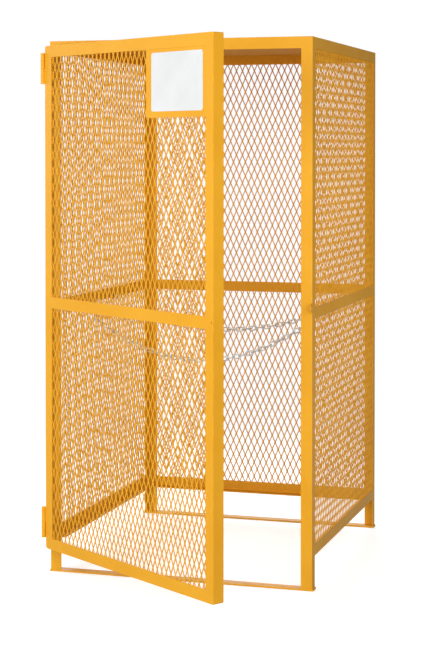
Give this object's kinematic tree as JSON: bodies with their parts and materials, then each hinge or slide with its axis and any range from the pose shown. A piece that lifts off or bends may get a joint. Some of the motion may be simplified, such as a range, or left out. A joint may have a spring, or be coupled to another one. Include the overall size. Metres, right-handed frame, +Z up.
{
  "type": "gas cylinder cage",
  "caption": "Welded angle-bar cage with expanded-metal walls, a sheet roof, a hinged mesh door and retaining chains, for storing upright gas cylinders.",
  "frame": {"origin": "middle of the front base bar's underside, on the ground", "axes": "+X to the right seen from the front, +Y towards the back, +Z up"},
  "size_m": [0.92, 1.547, 1.778],
  "materials": {
    "frame_paint": "semi-gloss yellow powder coat",
    "mesh_paint": "semi-gloss yellow powder coat on expanded metal",
    "sheet_paint": "semi-gloss yellow powder coat on sheet steel",
    "zinc_plate": "bright zinc plating",
    "pin_steel": "plain steel",
    "placard_vinyl": "white satin vinyl"
  },
  "bodies": {
    "cage": {"base_bar_front": "frame_paint", "base_bar_rear": "frame_paint", "post_front_left": "frame_paint", "post_front_right": "frame_paint", "post_rear_left": "frame_paint", "post_rear_right": "frame_paint", "top_rail_front": "frame_paint", "top_rail_rear": "frame_paint", "top_rail_left": "frame_paint", "top_rail_right": "frame_paint", "mid_bar_rear": "frame_paint", "mid_bar_left": "frame_paint", "mid_bar_right": "frame_paint", "bottom_rail_rear": "frame_paint", "bottom_rail_left": "frame_paint", "bottom_rail_right": "frame_paint", "roof_panel": "sheet_paint", "mesh_rear": "mesh_paint", "mesh_left": "mesh_paint", "mesh_right": "mesh_paint", "hinge_top_post_half": "frame_paint", "hinge_top_pin": "pin_steel", "hinge_bottom_post_half": "frame_paint", "hinge_bottom_pin": "pin_steel", "lock_lug": "frame_paint", "chain_eyes": "frame_paint", "hook_front": "zinc_plate", "hook_rear": "zinc_plate", "chain_front": "zinc_plate", "chain_rear": "zinc_plate"},
    "door": {"door_stile_hinge": "frame_paint", "door_stile_free": "frame_paint", "door_rail_top": "frame_paint", "door_mid_bar": "frame_paint", "door_rail_bottom": "frame_paint", "door_mesh": "mesh_paint", "sign_plate": "sheet_paint", "sign_placard": "placard_vinyl", "hinge_top_door_half": "frame_paint", "hinge_bottom_door_half": "frame_paint"}
  },
  "joints": [
    {"name": "door_hinge", "type": "hinge", "parent": "cage", "child": "door", "pos_m": [-0.458, -0.064, 0.93], "axis": [0, 0, -1], "range_deg": [-34.6, 233.4]}
  ]
}
